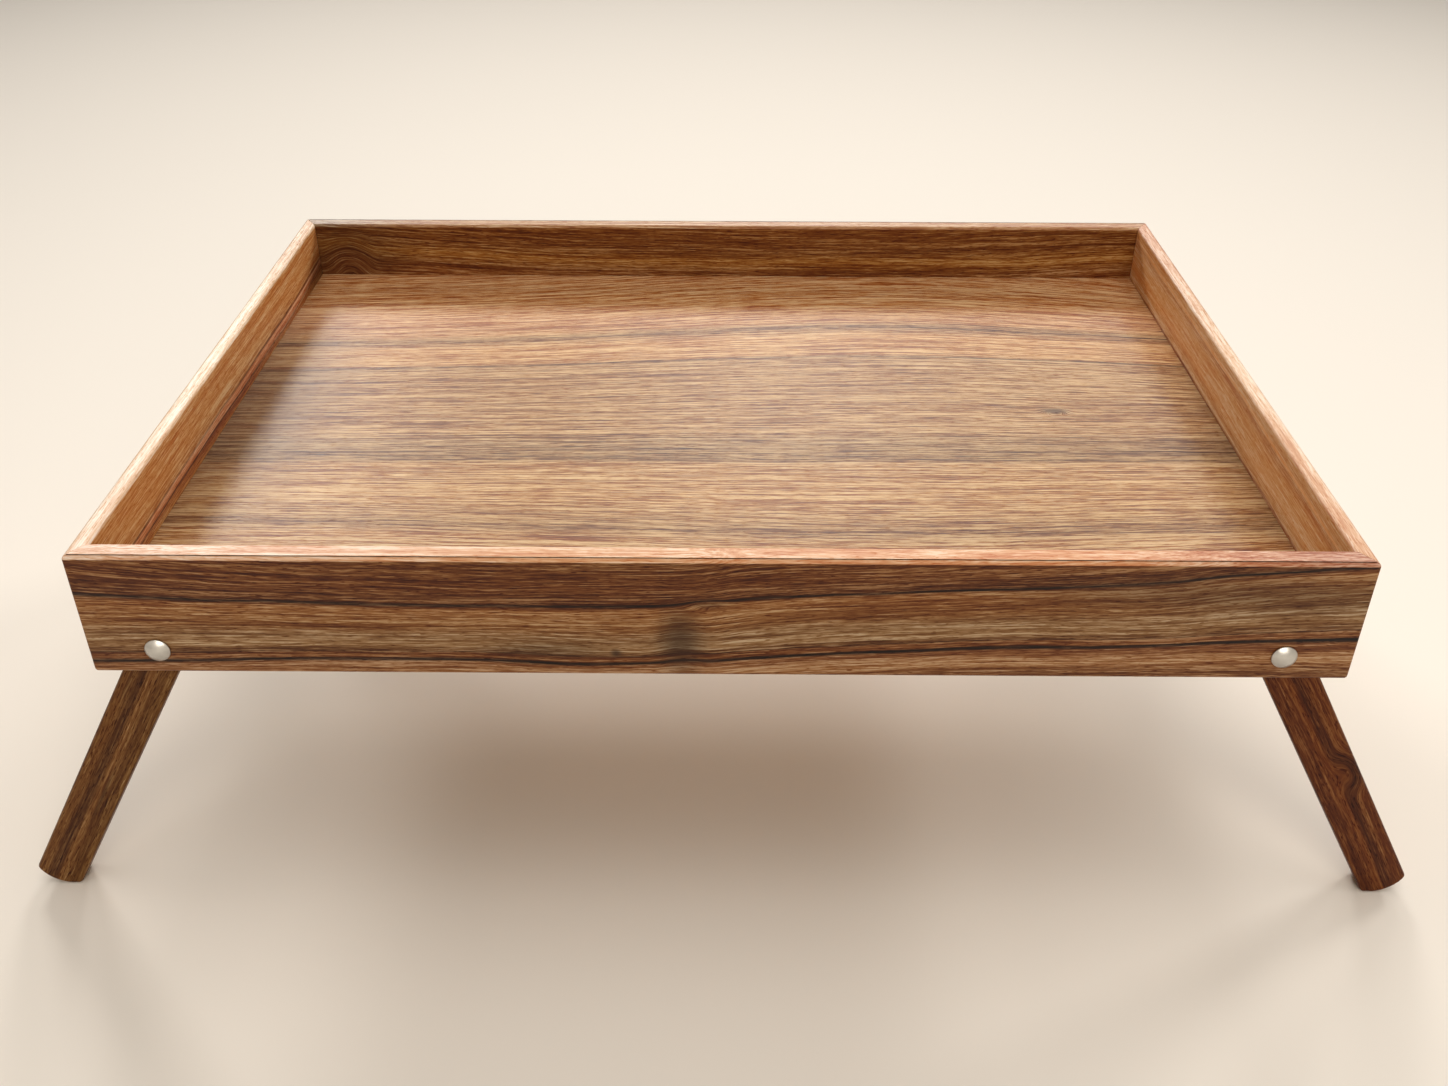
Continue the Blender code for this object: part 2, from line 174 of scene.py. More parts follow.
def wall_board(name, low, high):
    """A board over the whole side of the box: outer corners and arrises rounded, then mitred and grooved."""
    board = block(name, low, high)
    middle = (low + high) / 2
    pick(board, "EDGE", lambda ends: abs(ends[0].z - ends[1].z) > TINY and is_outer(ends[0]))
    bpy.ops.mesh.bevel(offset=CORNER_RADIUS, segments=ROUNDING_STEPS, affect="EDGES")
    leave_edit()
    pick(board, "EDGE", lambda ends: abs(ends[0].z - ends[1].z) < TINY)
    bpy.ops.mesh.bevel(offset=ARRIS_RADIUS, segments=ROUNDING_STEPS, affect="EDGES")
    leave_edit()
    for side_x in (-1, 1):
        for side_y in (-1, 1):
            corner = Vector((side_x * half_length, side_y * half_width, 0))
            if all(low[axis] - TINY < corner[axis] < high[axis] + TINY for axis in (0, 1)):
                mitre(board, middle, side_x, side_y)
    play = Vector((GROOVE_BOTTOM_PLAY, GROOVE_BOTTOM_PLAY, GROOVE_PLAY))
    cut(board, block("groove", floor_low - play, floor_high + play))
    return board


def is_outer(point):
    return abs(point.x) > half_length - TINY and abs(point.y) > half_width - TINY


def bore_for_bolts(board, side_y):
    """Two holes through the board, square at the outer face for the bolts' necks."""
    outer_y = side_y * (half_width + OVERRUN)
    inner_y = side_y * (half_width - long_thickness - OVERRUN)
    neck_y = side_y * (half_width - NECK_LENGTH - BORE_PLAY)
    for x in (-pivot.x, pivot.x):
        outer = Vector((x, outer_y, pivot.z))
        inner = Vector((x, inner_y, pivot.z))
        cut(board, rod("bolt_hole", SHANK_RADIUS + BORE_PLAY, outer, inner))
        reach = Vector((NECK_HALF + BORE_PLAY, 0, NECK_HALF + BORE_PLAY))
        ends = (Vector((x, min(outer_y, neck_y), pivot.z)), Vector((x, max(outer_y, neck_y), pivot.z)))
        cut(board, block("neck_mouth", ends[0] - reach, ends[1] + reach))


def sight_colour(code):
    """The linear colour of an sRGB hex value, with full alpha."""
    values = [int(code[place:place + 2], 16) / 255 for place in (1, 3, 5)]
    return (*[v / 12.92 if v <= 0.04045 else ((v + 0.055) / 1.055) ** 2.4 for v in values], 1.0)


def add(tree, kind, inputs, stops=(), curve=(), **settings):
    """Adds a shader node, makes its settings, and gives each input a value or the output of another node."""
    node = tree.nodes.new("ShaderNode" + kind)
    for name, value in settings.items():
        setattr(node, name, value)
    for key, value in inputs.items():
        if isinstance(value, bpy.types.Node):
            tree.links.new(value.outputs[0], node.inputs[key])
        elif isinstance(value, bpy.types.NodeSocket):
            tree.links.new(value, node.inputs[key])
        else:
            node.inputs[key].default_value = value
    if stops:
        points = node.color_ramp.elements
        while len(points) < len(stops):
            points.new(1.0)
        for point, (place, code) in zip(points, stops):
            point.position = place
            point.color = sight_colour(code)
    if curve:
        points = node.mapping.curves[0].points
        while len(points) < len(curve):
            points.new(0.5, 0.5)
        for point, place in zip(points, curve):
            point.location = place
        node.mapping.update()
    return node


# The wood's pattern, in millimetres. Real pores are 0.1 to 0.2 mm wide, and are drawn about three times as
# wide, because finer ones vanish at the camera's distance. The same goes for the finest streaks.
DRIFT_LENGTH = 120
DRIFT_WIDTH = 30
DRIFT_REACH = 6
PORE_LENGTH = 4.5
PORE_WIDTH = 0.45
PORE_DEPTH = 0.08
PALE_EDGE_START = 1.8
PALE_EDGE_FULL = 1.3
# A colour is raised to a power: above 1 it is deeper and richer, below 1 it is paler.
PALEST_POWER = 0.55
DEEPEST_POWER = 2.4
PORE_POWER = 0.55
NOISE_STRETCH = 4
PORE_ROUGHENING = 0.2
KNOT_AND_SHADE_BROWN = "#2a160b"


def acacia(name, middle, along, across, span, lines, bands, layers, knots_and_painted_shade=(), wander=1.0, edge=(),
           rough=0.42, gloss=0.22):
    """Planed acacia with its finish. Its bands of colour follow two lines drawn along the board, each given
    as shares of its length and height, and are placed from -1 to 2, with the lines at 0 and 1. Each layer of
    streaks has a length, a width and a strength. A knot has its place, its reach along and across, how far
    it pushes the grain aside, and how dark it is. The same entries also paint shade on a board, as on the
    floor. The edge gives the colours along the sanded top edge: paler wood with a painted sheen on it."""
    material = bpy.data.materials.new(name)
    material.use_nodes = True
    tree = material.node_tree
    shader = tree.nodes["Principled BSDF"]
    turn = Matrix((along, across, along.cross(across)))
    thing = add(tree, "TexCoord", {}).outputs["Object"]
    board = add(tree, "Mapping", {
        "Vector": thing, "Location": turn @ middle / -MM, "Rotation": turn.to_euler(), "Scale": (1 / MM,) * 3,
    })
    axes = add(tree, "SeparateXYZ", {0: board})
    length, height = span[0] / MM, span[1] / MM
    # The grain wanders a little and goes round the knots.
    drift_place = add(tree, "Mapping", {
        "Vector": board, "Scale": (1 / DRIFT_LENGTH, 1 / DRIFT_WIDTH, 1 / DRIFT_WIDTH),
    })
    drift = add(tree, "TexNoise", {"Vector": drift_place, "Scale": 1.0, "Detail": 3.0, "Roughness": 0.4})
    swing = add(tree, "Math", {0: drift, 1: 0.5}, operation="SUBTRACT")
    reach_aside = DRIFT_REACH * wander
    level = add(tree, "Math", {0: swing, 1: reach_aside, 2: axes.outputs[1]}, operation="MULTIPLY_ADD")
    knot_and_painted_shade = 0.0
    for along_share, across_share, reach, rise, push, shade in knots_and_painted_shade:
        spot = ((along_share - 0.5) * length, (across_share - 0.5) * height, 0)
        offset = add(tree, "VectorMath", {0: board, 1: spot}, operation="SUBTRACT")
        scaled = add(tree, "VectorMath", {0: offset, 1: (1 / reach, 1 / rise, 0)}, operation="MULTIPLY")
        far = add(tree, "VectorMath", {0: scaled}, operation="LENGTH").outputs["Value"]
        near = add(tree, "MapRange", {
            "Value": far, "From Min": 0.0, "From Max": 1.0, "To Min": 1.0, "To Max": 0.0,
        }, interpolation_type="SMOOTHERSTEP")
        level = add(tree, "Math", {0: near, 1: -push, 2: level}, operation="MULTIPLY_ADD")
        dark = add(tree, "Math", {0: near, 1: shade}, operation="MULTIPLY")
        knot_and_painted_shade = add(tree, "Math", {0: dark, 1: knot_and_painted_shade}, operation="MAXIMUM")
    share_along = add(tree, "MapRange", {
        "Value": axes.outputs[0], "From Min": -length / 2, "From Max": length / 2,
    })
    share_up = add(tree, "Math", {0: level, 1: 1 / height, 2: 0.5}, operation="MULTIPLY_ADD")
    low = add(tree, "FloatCurve", {"Value": share_along}, curve=lines[0])
    high = add(tree, "FloatCurve", {"Value": share_along}, curve=lines[1])
    gap = add(tree, "Math", {0: high, 1: low}, operation="SUBTRACT")
    above = add(tree, "Math", {0: share_up, 1: low}, operation="SUBTRACT")
    between = add(tree, "Math", {0: above, 1: gap}, operation="DIVIDE")
    band_place = add(tree, "MapRange", {"Value": between, "From Min": -1.0, "From Max": 2.0})
    colour = add(tree, "ValToRGB", {0: band_place}, stops=[((place + 1) / 3, code) for place, code in bands])
    # The fibres follow the bands, at their mean distance.
    mean_low, mean_high = [sum(share for _, share in line) / len(line) for line in lines]
    fibre_level = add(tree, "Math", {0: between, 1: (mean_high - mean_low) * height}, operation="MULTIPLY")
    fibres = add(tree, "CombineXYZ", {0: axes.outputs[0], 1: fibre_level, 2: axes.outputs[2]})
    # Streaks: where their sum is low the power is high and the colour deeper, where it is high it is paler.
    power = 1.0
    for run, width, strength in layers:
        place = add(tree, "Mapping", {"Vector": fibres, "Scale": (1 / run, 1 / width, 1 / width)})
        noise = add(tree, "TexNoise", {"Vector": place, "Scale": 1.0, "Detail": 2.0, "Roughness": 0.6})
        centred = add(tree, "Math", {0: noise, 1: 0.5}, operation="SUBTRACT")
        depth = -NOISE_STRETCH * strength
        power = add(tree, "Math", {0: centred, 1: depth, 2: power}, operation="MULTIPLY_ADD")
    # Open pores: short dark dashes along the fibres
    pore_place = add(tree, "Mapping", {
        "Vector": fibres, "Scale": (1 / PORE_LENGTH, 1 / PORE_WIDTH, 1 / PORE_WIDTH),
    })
    pore_noise = add(tree, "TexNoise", {"Vector": pore_place, "Scale": 1.0, "Detail": 1.0})
    pore = add(tree, "MapRange", {"Value": pore_noise, "From Min": 0.6, "From Max": 0.7})
    power = add(tree, "Math", {0: pore, 1: PORE_POWER, 2: power}, operation="MULTIPLY_ADD")
    power = add(tree, "Clamp", {"Value": power, "Min": PALEST_POWER, "Max": DEEPEST_POWER})
    if edge:
        # The sanded top edge is paler wood with a painted sheen on it, and shows the pores as short flecks.
        on_top = add(tree, "MapRange", {
            "Value": axes.outputs[1],
            "From Min": height / 2 - PALE_EDGE_START, "From Max": height / 2 - PALE_EDGE_FULL,
        }, interpolation_type="SMOOTHSTEP")
        pale = add(tree, "ValToRGB", {0: share_along}, stops=edge)
        colour = add(tree, "MixRGB", {"Fac": on_top, "Color1": colour, "Color2": pale})
    colour = add(tree, "Gamma", {0: colour, 1: power})
    # Mixes in the brown of the knots and of the painted shade.
    if knots_and_painted_shade:
        brown = sight_colour(KNOT_AND_SHADE_BROWN)
        colour = add(tree, "MixRGB", {"Fac": knot_and_painted_shade, "Color1": colour, "Color2": brown})
    tree.links.new(colour.outputs[0], shader.inputs["Base Color"])
    roughness = add(tree, "MapRange", {"Value": pore, "To Min": rough, "To Max": rough + PORE_ROUGHENING})
    tree.links.new(roughness.outputs[0], shader.inputs["Roughness"])
    shader.inputs["Specular IOR Level"].default_value = gloss
    bump = add(tree, "Bump", {"Height": pore, "Strength": 0.25, "Distance": PORE_DEPTH * MM}, invert=True)
    tree.links.new(bump.outputs[0], shader.inputs["Normal"])
    return material


# Streaks of the boards, and calmer ones of the legs: length, width and strength of each layer
BOARD_STREAKS = ((260, 3.2, 0.34), (90, 1.5, 0.36), (26, 0.8, 0.48), (9, 0.5, 0.42))
QUIET_STREAKS = ((180, 3.0, 0.2), (60, 1.4, 0.2), (18, 0.8, 0.24), (6, 0.5, 0.2))
# The front board: mid brown with a low satin sheen. Two near-black lines run along its whole length, and a
# dark smear lies over a small knot near the middle.
front_upper_line = (
    (0, 0.70), (0.17, 0.63), (0.31, 0.613), (0.42, 0.60), (0.47, 0.61), (0.53, 0.685), (0.64, 0.74),
    (0.75, 0.795), (0.82, 0.816), (0.90, 0.90), (1, 0.98),
)
front_lower_line = (
    (0, 0.115), (0.1, 0.128), (0.21, 0.12), (0.31, 0.13), (0.405, 0.10), (0.445, 0.11), (0.49, 0.14),
    (0.53, 0.186), (0.64, 0.247), (0.75, 0.296), (0.82, 0.309), (0.9, 0.336), (1, 0.36),
)
front_bands = (
    (-0.9, "#8a5c38"), (-0.5, "#6e4322"), (-0.3, "#94663e"), (-0.05, "#7c4e2c"), (-0.018, "#1c0a03"),
    (0.014, "#1c0a03"), (0.04, "#774723"), (0.122, "#6c3f1e"), (0.134, "#2c1407"), (0.15, "#6a4424"),
    (0.25, "#8c6843"), (0.42, "#8a6744"), (0.58, "#83572f"), (0.9, "#84532a"), (0.965, "#6a3d1c"),
    (0.985, "#1c0a03"), (1.01, "#1c0a03"), (1.035, "#552c11"), (1.3, "#6a3c1a"), (2, "#643816"),
)
front_wood = acacia(
    "oiled_acacia_front_board",
    Vector((0, -half_width + long_thickness / 2, wall_middle)), X_AXIS, UP, (2 * half_length, wall_height),
    (front_lower_line, front_upper_line), front_bands, BOARD_STREAKS,
    knots_and_painted_shade=(
        (0.469, 0.3, 17, 30, 1.5, 0.75), (0.418, 0.2, 4.5, 4, 0, 0.8), (0.36, 0.22, 45, 8, 0, 0.45),
        (0.49, 0.63, 16, 5, 2.5, 0.45), (0.9, 0.74, 150, 16, 0, 0.5),
    ),
    edge=((0, "#d6ae90"), (0.35, "#cf9c72"), (0.8, "#cc9165"), (0.97, "#ad7458")),
)
# The back board: deeper and redder brown, darker towards its left end. The grain swirls round a knot there.
back_bands = (
    (-1, "#542c11"), (-0.3, "#663719"), (0, "#71401d"), (0.3, "#8a5428"), (0.6, "#7a4920"), (0.8, "#905b23"),
    (1, "#714017"), (2, "#8c5623"),
)
back_wood = acacia(
    "oiled_acacia_back_board",
    Vector((0, half_width - long_thickness / 2, wall_middle)), X_AXIS, UP, (2 * half_length, wall_height),
    (((0, 0.3), (0.5, 0.15), (1, 0.2)), ((0, 0.9), (0.5, 0.7), (1, 0.8))), back_bands, BOARD_STREAKS,
    knots_and_painted_shade=(
        (0.05, 0.62, 22, 24, 9, 0.35), (0.04, 0.5, 75, 70, 0, 0.5), (0.42, 0.3, 30, 9, 2, 0.2),
        (0.72, 0.28, 26, 8, 2, 0.2),
    ),
    edge=((0, "#937250"), (0.08, "#a67b53"), (0.35, "#ab7d52"), (1, "#a97649")),
)
front_wall = wall_board(
    "front_wall_board",
    Vector((-half_length, -half_width, wall_foot)), Vector((half_length, front_high.y, rim)),
)
back_wall = wall_board(
    "back_wall_board",
    Vector((-half_length, -front_high.y, wall_foot)), Vector((half_length, half_width, rim)),
)
bore_for_bolts(front_wall, -1)
bore_for_bolts(back_wall, 1)
finish_part(front_wall, front_wood, "tray", "long_wall_wood", "front_wall")
finish_part(back_wall, back_wood, "tray", "long_wall_wood", "back_wall")

# Short walls
# The two ends of the box are thinner acacia boards of the same height, from lighter stock. They are mitred,
# rounded and grooved as the long walls are, and carry no bolts.
# The left board: golden brown, with two thin red-brown lines low on its inner side and a dark far end
left_bands = (
    (-1, "#bf8b59"), (-0.6, "#cd9661"), (-0.2, "#ab6d33"), (-0.03, "#9d5c2c"), (0.01, "#5a2c10"),
    (0.05, "#c17f54"), (0.17, "#cc8b5d"), (0.21, "#673617"), (0.26, "#b67942"), (0.5, "#c88b4e"),
    (1, "#cd9155"), (2, "#d29d63"),
)
# The right board: paler gold, with one light streak under the rim
right_bands = (
    (-1, "#c1905f"), (-0.2, "#b77d4b"), (0, "#9e5831"), (0.05, "#d0985f"), (0.3, "#e3ab70"), (0.7, "#dda56a"),
    (0.9, "#cf9766"), (0.96, "#f0c08a"), (1.02, "#dba56f"), (2, "#e0b07a"),
)
left_wood = acacia(
    "oiled_acacia_left_board",
    Vector((-half_length + short_thickness / 2, 0, wall_middle)), Y_AXIS, UP, (2 * half_width, wall_height),
    (((0, 0.5), (0.3, 0.525), (0.6, 0.495), (1, 0.52)), ((0, 0.9), (1, 0.9))), left_bands, BOARD_STREAKS,
    knots_and_painted_shade=((0.98, 0.5, 70, 26, 3, 0.62),),
    edge=((0, "#d9b799"), (0.5, "#d8b998"), (1, "#c49c76")),
)
right_wood = acacia(
    "oiled_acacia_right_board",
    Vector((half_length - short_thickness / 2, 0, wall_middle)), Y_AXIS, UP, (2 * half_width, wall_height),
    (((0, 0.46), (1, 0.45)), ((0, 0.88), (0.4, 0.92), (1, 0.9))), right_bands, BOARD_STREAKS,
    edge=((0, "#cfa07c"), (0.5, "#d8b492"), (1, "#c08a68")),
)
left_wall = wall_board(
    "left_wall_board", Vector((-half_length, -half_width, wall_foot)), Vector((left_high.x, half_width, rim))
)
right_wall = wall_board(
    "right_wall_board", Vector((-left_high.x, -half_width, wall_foot)), Vector((half_length, half_width, rim))
)
finish_part(left_wall, left_wood, "tray", "short_wall_wood", "left_wall")
finish_part(right_wall, right_wood, "tray", "short_wall_wood", "right_wall")

# Floor panel
# A thin panel faced with straight-grained acacia veneer, let into the walls' grooves on all four sides. Its
# satin lacquer lies over fine parallel streaks and turns milky where the low light from behind strikes it.
floor_bands = (
    (-1, "#ab7943"), (-0.62, "#ab7943"), (-0.54, "#895c2d"), (-0.47, "#986936"), (-0.31, "#a87740"),
    (-0.02, "#a4743f"), (0.02, "#805629"), (0.2, "#8f6537"), (0.27, "#996a38"), (0.9, "#996a38"),
    (0.985, "#936535"), (0.995, "#6a4522"), (1.01, "#a57039"), (1.04, "#aa753d"), (1.22, "#b27d44"),
    (1.3, "#8f5f2f"), (1.32, "#7b4f26"), (1.35, "#8f5f2e"), (1.39, "#ac7640"), (1.45, "#a66d3a"),
    (1.6, "#b27a45"), (2, "#ae7541"),
)
FLOOR_STREAKS = ((420, 5.0, 0.45), (150, 1.5, 0.85), (45, 0.7, 1.3), (12, 0.45, 1.15))
floor_wood = acacia(
    "lacquered_acacia_veneer",
    Vector((0, 0, floor_high.z)), X_AXIS, Y_AXIS, (2 * half_length, 2 * half_width),
    (
        ((0, 0.35), (0.5, 0.355), (1, 0.36)),
        ((0, 0.615), (0.27, 0.632), (0.55, 0.665), (0.7, 0.6725), (0.85, 0.66), (1, 0.64)),
    ),
    floor_bands, FLOOR_STREAKS,
    # First a knot, then painted shade: a strip in the left wall's shadow and a darker right end.
    knots_and_painted_shade=((0.83, 0.5, 13, 6, 4, 0.75), (0.01, 0.5, 84, 260, 0, 0.64), (1, 0.3, 55, 180, 0, 0.3)),
    wander=0.7, rough=0.43, gloss=0.19,
)
floor_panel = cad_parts["floor_panel"]
floor_panel.data.materials.clear()
floor_panel.data.materials.append(floor_wood)

# Legs
# Four solid acacia legs, 22 by 14 mm. Each is round at the head on its inner side, and cut level on the outer
# side, where it stops against the floor. Its foot is a shallow arc with a narrow flat to stand on.
LEG_HALF_WIDTH = 11.2 * MM
LEG_REACH = 180.5 * MM
LEG_ARRIS_RADIUS = 1.5 * MM
LEG_ARRIS_STEPS = 3
FOOT_ARC_RADIUS = 18 * MM
FOOT_SIDES = 44
LEG_SPLAY = math.radians(29.8)
HOLE_PLAY = 0.1 * MM
HOLE_END_PLAY = 0.5 * MM
ARC_END_PLAY = 0.2 * MM
SHARP = math.radians(30)
ENDS = {"front": -1, "back": 1}
SIDES = {"left": -1, "right": 1}
leg_low, leg_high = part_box("front_right_leg")
leg_half_thickness = (leg_high.y - leg_low.y) / 2


def stand_splayed(part, side_x, middle_y):
    """Turns a part modelled upright about the origin to the leg's slope, and puts it on its pivot."""
    bpy.ops.object.select_all(action="DESELECT")
    part.select_set(True)
    bpy.context.view_layer.objects.active = part
    part.rotation_euler = (0, -side_x * LEG_SPLAY, 0)
    part.location = (side_x * pivot.x, middle_y, pivot.z)
    bpy.ops.object.transform_apply(location=True, rotation=True, scale=True)


def bore_for_dowels(part, side_name, end_name):
    """The blind holes of the two dowels that join a leg and a crossbar, where this part has them."""
    for level in ("lower", "upper"):
        low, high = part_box(end_name + "_" + side_name + "_" + level + "_dowel")
        middle = (low + high) / 2
        half = Vector((0, (high.y - low.y) / 2 + HOLE_END_PLAY, 0))
        cut(part, rod("dowel_hole", (high.x - low.x) / 2 + HOLE_PLAY, middle - half, middle + half))


def shaped_leg(name, side_x, middle_y):
    """An outline drawn upright about its pivot, with its outer side at +X or -X, and given its thickness. Its
    foot is rounded by keeping what a cylinder covers, and cut level once the leg stands splayed. The cylinder
    has so few sides that none is left too short for the arris rounding where the leg's edges cut it."""
    outwards = Vector((side_x, 0, 0))
    across = Vector((0, 2 * leg_half_thickness, 0))
    face = -leg_half_thickness * Y_AXIS
    true_up = math.cos(LEG_SPLAY) * UP + math.sin(LEG_SPLAY) * outwards
    level_out = math.cos(LEG_SPLAY) * outwards - math.sin(LEG_SPLAY) * UP
    tangent_point = LEG_HALF_WIDTH * true_up
    shoulder = LEG_HALF_WIDTH * (1 - math.sin(LEG_SPLAY)) / math.cos(LEG_SPLAY) * level_out
    bpy.ops.object.select_all(action="DESELECT")
    bpy.ops.mesh.primitive_circle_add(
        vertices=96, radius=LEG_HALF_WIDTH, location=face, rotation=(QUARTER_TURN, side_x * LEG_SPLAY, 0)
    )
    leg = bpy.context.object
    leg.name = name
    bpy.ops.object.transform_apply(location=True, rotation=True, scale=True)
    pick(leg, "VERT", lambda corners: corners[0].dot(level_out) > TINY or corners[0].z < -ARC_END_PLAY)
    bpy.ops.mesh.delete(type="VERT")
    leave_edit()
    pick(leg, "VERT", lambda corners: abs(corners[0].dot(level_out)) < TINY)
    bpy.ops.mesh.extrude_region_move(TRANSFORM_OT_translate={"value": shoulder})
    outer_drop = LEG_REACH + tangent_point.z + shoulder.z
    bpy.ops.mesh.extrude_region_move(TRANSFORM_OT_translate={"value": -outer_drop * UP})
    leave_edit()
    pick(leg, "VERT", lambda corners: corners[0].dot(outwards) < 0 and abs(corners[0].z) < ARC_END_PLAY)
    bpy.ops.mesh.extrude_region_move(TRANSFORM_OT_translate={"value": -LEG_REACH * UP})
    bpy.ops.mesh.select_all(action="SELECT")
    bpy.ops.mesh.edge_face_add()
    bpy.ops.mesh.extrude_region_move(TRANSFORM_OT_translate={"value": across})
    bpy.ops.mesh.select_all(action="SELECT")
    bpy.ops.mesh.normals_make_consistent(inside=False)
    leave_edit()
    arc_centre = (FOOT_ARC_RADIUS - LEG_REACH) * UP
    foot_round = rod("foot_round", FOOT_ARC_RADIUS, arc_centre - across, arc_centre + across, FOOT_SIDES)
    pick(foot_round, "VERT", lambda corners: corners[0].z > arc_centre.z + TINY)
    bpy.ops.transform.translate(value=(0, 0, 2 * LEG_REACH))
    leave_edit()
    cut(leg, foot_round, "INTERSECT")
    stand_splayed(leg, side_x, middle_y)
    saw(leg, Vector(), -UP)
    pick_sharp(leg, SHARP)
    bpy.ops.mesh.bevel(offset=LEG_ARRIS_RADIUS, segments=LEG_ARRIS_STEPS, affect="EDGES")
    leave_edit()
    place = Vector((side_x * pivot.x, middle_y, pivot.z))
    cut(leg, rod("bolt_hole", SHANK_RADIUS + BORE_PLAY, place - across, place + across))
    return leg


# The legs of the left frame are a plain brown with a dark line, those of the right one are redder and darker,
# with a curl in the grain halfway down. The oil lies thinner here, so they shine less than the box.
LEG_BANDS = {
    "left": (
        (-1, "#71491f"), (0, "#5e3a18"), (0.4, "#704620"), (0.6, "#44240c"), (1, "#6e451e"), (2, "#5c3816"),
    ),
    "right": (
        (-1, "#633210"), (0, "#56290d"), (0.4, "#6c3914"), (0.6, "#461f08"), (1, "#633210"), (2, "#56290d"),
    ),
}
LEG_KNOTS = {
    "left": ((0.62, 0.35, 34, 1.6, 0, 0.55), (0.2, 0.8, 20, 2, 0, 0.3)),
    "right": ((0.52, 0.95, 24, 15, 7, 0.2),),
}
LEG_GLOSS = 0.12
leg_woods = {}
for side_name, side_x in SIDES.items():
    down = Vector((side_x * math.sin(LEG_SPLAY), 0, -math.cos(LEG_SPLAY)))
    out = Vector((side_x * math.cos(LEG_SPLAY), 0, math.sin(LEG_SPLAY)))
    leg_middle = Vector((side_x * pivot.x, 0, pivot.z)) + LEG_REACH / 2 * down
    leg_woods[side_name] = acacia(
        "oiled_acacia_" + side_name + "_legs", leg_middle, down, out, (LEG_REACH, 2 * LEG_HALF_WIDTH),
        (((0, 0.2), (1, 0.2)), ((0, 0.8), (1, 0.8))), LEG_BANDS[side_name], QUIET_STREAKS,
        knots_and_painted_shade=LEG_KNOTS[side_name], gloss=LEG_GLOSS,
    )
    for end_name, end_y in ENDS.items():
        node = end_name + "_" + side_name + "_leg"
        leg_low, leg_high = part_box(node)
        leg = shaped_leg(node + "_board", side_x, (leg_low.y + leg_high.y) / 2)
        bore_for_dowels(leg, side_name, end_name)
        finish_part(leg, leg_woods[side_name], side_name + "_leg_frame", side_name + "_leg_wood", node)

# Crossbars and dowels
# A bar of the legs' own wood, 18 by 12 mm, joins each pair of legs under the tray. Two beech dowels at each
# end, ridged to let the glue spread, are pushed half into the bar and half into the leg.
BAR_HALF_THICKNESS = 6 * MM
BAR_HALF_WIDTH = 9 * MM
BAR_ARRIS_RADIUS = 1.5 * MM
# How many flecks there are to a metre, which makes them 0.6 mm wide and 17 mm long
BEECH_FLECKS = (1600, 60, 1600)

for side_name, side_x in SIDES.items():
    node = side_name + "_crossbar"
    bar_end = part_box(node)[1].y
    dowel_boxes = [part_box("front_" + side_name + "_" + level + "_dowel") for level in ("lower", "upper")]
    middle = sum((low + high for low, high in dowel_boxes), Vector()) / 4
    middle.y = 0
    drop = Vector((middle.x - side_x * pivot.x, 0, middle.z - pivot.z)).length
    reach = Vector((BAR_HALF_THICKNESS, bar_end, BAR_HALF_WIDTH))
    bar = block(node + "_board", -reach - drop * UP, reach - drop * UP)
    pick(bar, "EDGE", lambda ends: abs(ends[0].y - ends[1].y) > TINY)
    bpy.ops.mesh.bevel(offset=BAR_ARRIS_RADIUS, segments=ROUNDING_STEPS, affect="EDGES")
    leave_edit()
    stand_splayed(bar, side_x, 0)
    for end_name in ENDS:
        bore_for_dowels(bar, side_name, end_name)
    bar_up = Vector((-side_x * math.sin(LEG_SPLAY), 0, math.cos(LEG_SPLAY)))
    bar_wood = acacia(
        "oiled_acacia_" + node, middle, Y_AXIS, bar_up, (2 * bar_end, 2 * BAR_HALF_WIDTH),
        (((0, 0.3), (1, 0.3)), ((0, 0.8), (1, 0.7))), LEG_BANDS[side_name], QUIET_STREAKS, gloss=LEG_GLOSS,
    )
    finish_part(bar, bar_wood, side_name + "_leg_frame", side_name + "_leg_wood", node)

# Turned beech without any finish: pale and matt, with short darker flecks along the dowel
beech = bpy.data.materials.new("raw_beech")
beech.use_nodes = True
beech_tree = beech.node_tree
beech_shader = beech_tree.nodes["Principled BSDF"]
beech_place = add(beech_tree, "Mapping", {
    "Vector": add(beech_tree, "TexCoord", {}).outputs["Object"], "Scale": BEECH_FLECKS,
})
beech_flecks = add(beech_tree, "TexNoise", {"Vector": beech_place, "Scale": 1.0, "Detail": 2.0})
beech_colour = add(beech_tree, "ValToRGB", {0: beech_flecks}, stops=((0.35, "#b98f66"), (0.6, "#d3ae86")))
beech_tree.links.new(beech_colour.outputs[0], beech_shader.inputs["Base Color"])
beech_shader.inputs["Roughness"].default_value = 0.6
for corner in ("front_left", "front_right", "back_left", "back_right"):
    for level in ("lower", "upper"):
        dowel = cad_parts[corner + "_" + level + "_dowel"]
        dowel.data.materials.clear()
        dowel.data.materials.append(beech)

# Pivot bolts
# M5 bolts of plain steel, with a low round head, tumbled satin, on the wall's outer face. A square neck bites
# into the wood, so that the bolt can't turn, and the inner end carries the thread for the lock nut.
HEAD_RADIUS = 5.6 * MM
DOME_HEIGHT = 2.1 * MM
RIM_HEIGHT = 0.6 * MM
RIM_EASING = 0.18 * MM
THREAD_PITCH = 0.8 * MM
THREAD_DEPTH = 0.4 * MM
THREAD_TURNS = 16
END_CHAMFER = 0.5 * MM
DULLEST = 0.86
UNEVENNESS = 0.05
DENT_DEPTH = 0.05 * MM
dome_radius = (HEAD_RADIUS**2 + DOME_HEIGHT**2) / (2 * DOME_HEIGHT)


def extrude_ring(step, factor=1.0):
    """Draws the selected ring of edges out along Z, and widens or narrows it."""
    bpy.ops.mesh.extrude_region_move(TRANSFORM_OT_translate={"value": (0, 0, step)})
    bpy.ops.transform.resize(value=(factor, factor, 1))


